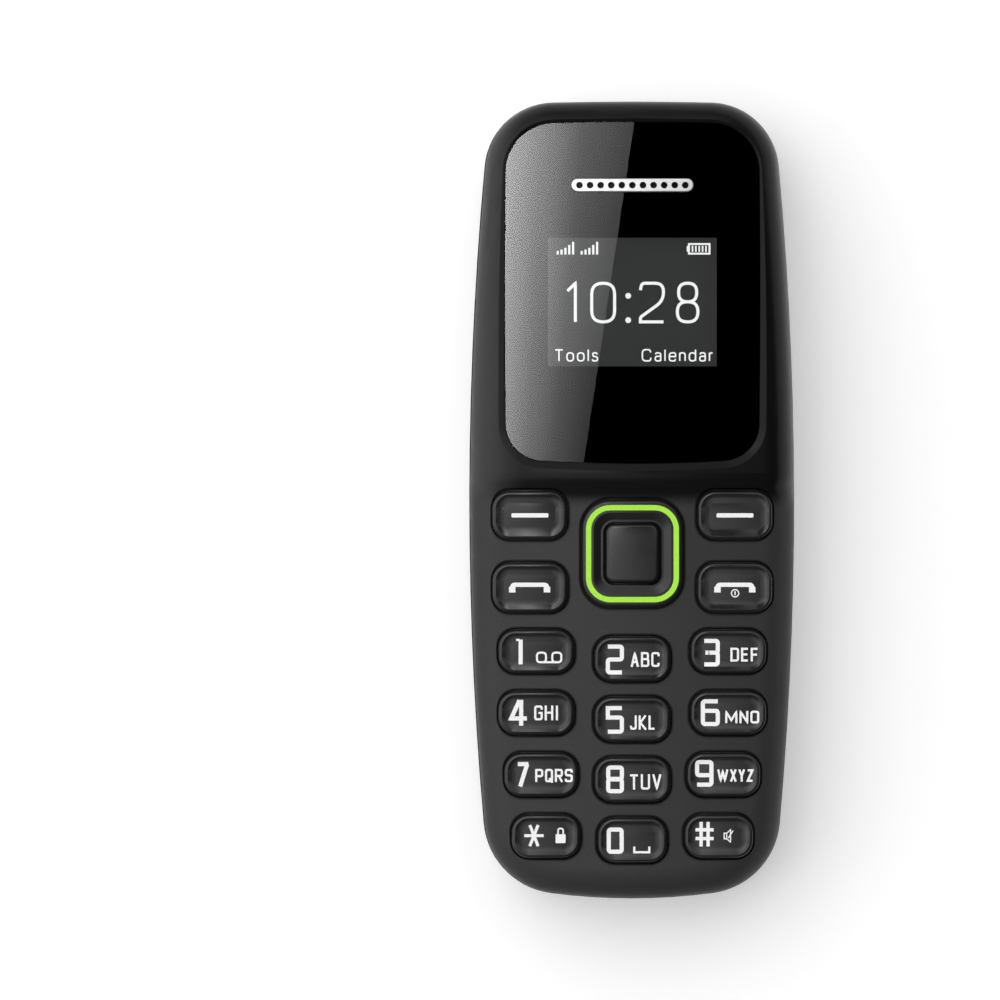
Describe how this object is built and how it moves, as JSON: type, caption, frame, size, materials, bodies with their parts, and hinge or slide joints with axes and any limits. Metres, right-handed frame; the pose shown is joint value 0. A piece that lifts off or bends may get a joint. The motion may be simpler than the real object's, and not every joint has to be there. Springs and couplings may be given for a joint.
{
  "type": "feature phone",
  "caption": "Small candy-bar feature phone with a small screen, a rocking navigation pad, pressable keys, and a back cover that lifts off over its battery.",
  "frame": {"origin": "under the middle of the back cover, on the surface the phone lies on", "axes": "+Z out of the screen, +Y towards the earpiece end, +X to the keypad's right"},
  "size_m": [0.0294, 0.072, 0.0125],
  "materials": {
    "front_shell": "satin black, light mould grain",
    "back_shell": "matte black, fine rippled leather-like grain",
    "chassis": "plain black moulding",
    "clear_lens": "clear acrylic, polished",
    "black_film": "black",
    "glue": "black adhesive",
    "silver_trim": "light silver",
    "foam": "black foam",
    "screen": "dark grey screen with light figures",
    "light_plate": "white",
    "display_frame": "white",
    "flex": "amber polyimide",
    "key_cap": "satin black with light legends",
    "nav_pad": "satin black",
    "green_ring": "bright yellow-green",
    "board": "green solder mask",
    "sheet_film": "clear film",
    "dome_metal": "bright",
    "silicone": "translucent grey",
    "led": "clear package",
    "steel": "tinned",
    "chip": "black package",
    "gold": "gold flash",
    "battery_wrap": "dark wrapper",
    "speaker_case": "black",
    "screw_steel": "zinc plated",
    "sound_plate": "dark grey plate"
  },
  "bodies": {
    "phone_body": {"front_housing": "front_shell", "rear_housing": "chassis", "housing_screws": "screw_steel", "display_window": "clear_lens", "window_film": "black_film", "window_glue": "glue", "earpiece_trim": "silver_trim", "earpiece_speaker": "speaker_case", "display_gasket": "foam", "display_panel": "screen", "backlight": "light_plate", "display_holder": "display_frame", "display_flex": "flex", "main_board": "board", "dome_sheet": "sheet_film", "metal_domes": "dome_metal", "keypad_mat": "silicone", "keypad_leds": "led", "shield_can": "steel", "main_chip": "chip", "memory_chip": "chip", "sim_holder_1": "steel", "sim_holder_2": "steel", "memory_card_holder": "steel", "antenna": "gold", "microphone": "steel", "charging_port": "steel", "contact_block": "chassis", "contact_springs": "gold", "loudspeaker": "speaker_case", "speaker_foam": "foam", "vibration_motor": "steel"},
    "back_cover": {"back_cover": "back_shell", "speaker_mesh": "sound_plate"},
    "battery": {"battery_cell": "battery_wrap", "battery_cap": "chassis", "battery_terminals": "gold"},
    "motor_weight": {"motor_weight": "screw_steel"},
    "nav_gimbal": {"nav_gimbal": "silicone"},
    "nav_pad": {"nav_ring": "nav_pad", "nav_trim": "green_ring"},
    "ok_key": {"ok_key": "key_cap"},
    "left_soft_key": {"left_soft_key": "key_cap"},
    "right_soft_key": {"right_soft_key": "key_cap"},
    "call_key": {"call_key": "key_cap"},
    "end_key": {"end_key": "key_cap"},
    "key_1": {"key_1": "key_cap"},
    "key_2": {"key_2": "key_cap"},
    "key_3": {"key_3": "key_cap"},
    "key_4": {"key_4": "key_cap"},
    "key_5": {"key_5": "key_cap"},
    "key_6": {"key_6": "key_cap"},
    "key_7": {"key_7": "key_cap"},
    "key_8": {"key_8": "key_cap"},
    "key_9": {"key_9": "key_cap"},
    "key_star": {"key_star": "key_cap"},
    "key_0": {"key_0": "key_cap"},
    "key_hash": {"key_hash": "key_cap"}
  },
  "joints": [
    {"name": "back_cover_release", "type": "slide", "parent": "phone_body", "child": "back_cover", "axis": [0, 0, -1], "range_m": [0, 0.025]},
    {"name": "battery_release", "type": "slide", "parent": "phone_body", "child": "battery", "axis": [0, 0, -1], "range_m": [0, 0.01]},
    {"name": "motor_spin", "type": "hinge", "parent": "phone_body", "child": "motor_weight", "pos_m": [0.003, 0.0162, 0.00335], "axis": [1, 0, 0], "continuous": true},
    {"name": "nav_rock_up_down", "type": "hinge", "parent": "phone_body", "child": "nav_gimbal", "pos_m": [0, -0.00482, 0.01], "axis": [1, 0, 0], "range_deg": [-1.5, 1.5], "stiffness_Nm_per_rad": 0.12},
    {"name": "nav_rock_left_right", "type": "hinge", "parent": "nav_gimbal", "child": "nav_pad", "pos_m": [0, -0.00482, 0.01], "axis": [0, 1, 0], "range_deg": [-1.5, 1.5], "stiffness_Nm_per_rad": 0.12},
    {"name": "ok_key_press", "type": "slide", "parent": "phone_body", "child": "ok_key", "axis": [0, 0, -1], "range_m": [0, 0.0003], "stiffness_N_per_m": 4000},
    {"name": "left_soft_key_press", "type": "slide", "parent": "phone_body", "child": "left_soft_key", "axis": [0, 0, -1], "range_m": [0, 0.0003], "stiffness_N_per_m": 4000},
    {"name": "right_soft_key_press", "type": "slide", "parent": "phone_body", "child": "right_soft_key", "axis": [0, 0, -1], "range_m": [0, 0.0003], "stiffness_N_per_m": 4000},
    {"name": "call_key_press", "type": "slide", "parent": "phone_body", "child": "call_key", "axis": [0, 0, -1], "range_m": [0, 0.0003], "stiffness_N_per_m": 4000},
    {"name": "end_key_press", "type": "slide", "parent": "phone_body", "child": "end_key", "axis": [0, 0, -1], "range_m": [0, 0.0003], "stiffness_N_per_m": 4000},
    {"name": "key_1_press", "type": "slide", "parent": "phone_body", "child": "key_1", "axis": [0, 0, -1], "range_m": [0, 0.0003], "stiffness_N_per_m": 4000},
    {"name": "key_2_press", "type": "slide", "parent": "phone_body", "child": "key_2", "axis": [0, 0, -1], "range_m": [0, 0.0003], "stiffness_N_per_m": 4000},
    {"name": "key_3_press", "type": "slide", "parent": "phone_body", "child": "key_3", "axis": [0, 0, -1], "range_m": [0, 0.0003], "stiffness_N_per_m": 4000},
    {"name": "key_4_press", "type": "slide", "parent": "phone_body", "child": "key_4", "axis": [0, 0, -1], "range_m": [0, 0.0003], "stiffness_N_per_m": 4000},
    {"name": "key_5_press", "type": "slide", "parent": "phone_body", "child": "key_5", "axis": [0, 0, -1], "range_m": [0, 0.0003], "stiffness_N_per_m": 4000},
    {"name": "key_6_press", "type": "slide", "parent": "phone_body", "child": "key_6", "axis": [0, 0, -1], "range_m": [0, 0.0003], "stiffness_N_per_m": 4000},
    {"name": "key_7_press", "type": "slide", "parent": "phone_body", "child": "key_7", "axis": [0, 0, -1], "range_m": [0, 0.0003], "stiffness_N_per_m": 4000},
    {"name": "key_8_press", "type": "slide", "parent": "phone_body", "child": "key_8", "axis": [0, 0, -1], "range_m": [0, 0.0003], "stiffness_N_per_m": 4000},
    {"name": "key_9_press", "type": "slide", "parent": "phone_body", "child": "key_9", "axis": [0, 0, -1], "range_m": [0, 0.0003], "stiffness_N_per_m": 4000},
    {"name": "key_star_press", "type": "slide", "parent": "phone_body", "child": "key_star", "axis": [0, 0, -1], "range_m": [0, 0.0003], "stiffness_N_per_m": 4000},
    {"name": "key_0_press", "type": "slide", "parent": "phone_body", "child": "key_0", "axis": [0, 0, -1], "range_m": [0, 0.0003], "stiffness_N_per_m": 4000},
    {"name": "key_hash_press", "type": "slide", "parent": "phone_body", "child": "key_hash", "axis": [0, 0, -1], "range_m": [0, 0.0003], "stiffness_N_per_m": 4000}
  ],
  "couplings": [
    {"joint": "battery_release", "follows": "back_cover_release", "ratio": 0.4}
  ]
}
